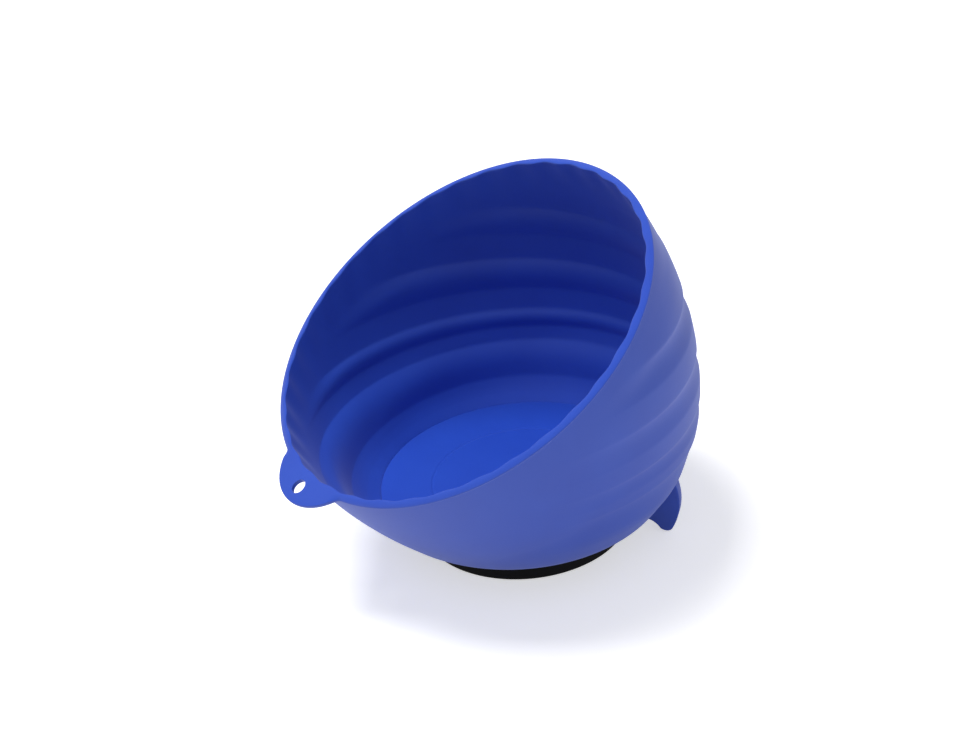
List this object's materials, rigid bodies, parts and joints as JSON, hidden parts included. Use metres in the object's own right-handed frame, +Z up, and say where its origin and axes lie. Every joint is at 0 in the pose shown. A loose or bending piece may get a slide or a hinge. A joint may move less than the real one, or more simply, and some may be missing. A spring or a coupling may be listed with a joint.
{
  "type": "magnetic parts tray",
  "caption": "Moulded blue bowl with a slanted round mouth, hang tab and rear feet, held upright on steel by a rubber-covered pot magnet.",
  "frame": {"origin": "middle of the flat underside of the rubber base, on the surface that the tray stands on", "axes": "+Z up along the base axis, -Y to the front, where the rim is lowest and carries the hang tab, +X to the right as seen from the front; the tray is mirror-symmetric about X = 0"},
  "size_m": [0.15, 0.1593, 0.1272],
  "materials": {
    "blue_plastic": "moulded, fine matte",
    "black_rubber": "moulded, matte",
    "plated_steel": "zinc plated",
    "ferrite": "sintered, ground faces",
    "brass": "turned"
  },
  "bodies": {
    "root": {"bowl": "blue_plastic", "base_boot": "black_rubber", "magnet_cup": "plated_steel", "ring_magnet": "ferrite", "pole_piece": "plated_steel", "base_screw": "plated_steel", "lock_washer": "plated_steel", "threaded_insert": "brass"}
  },
  "joints": []
}
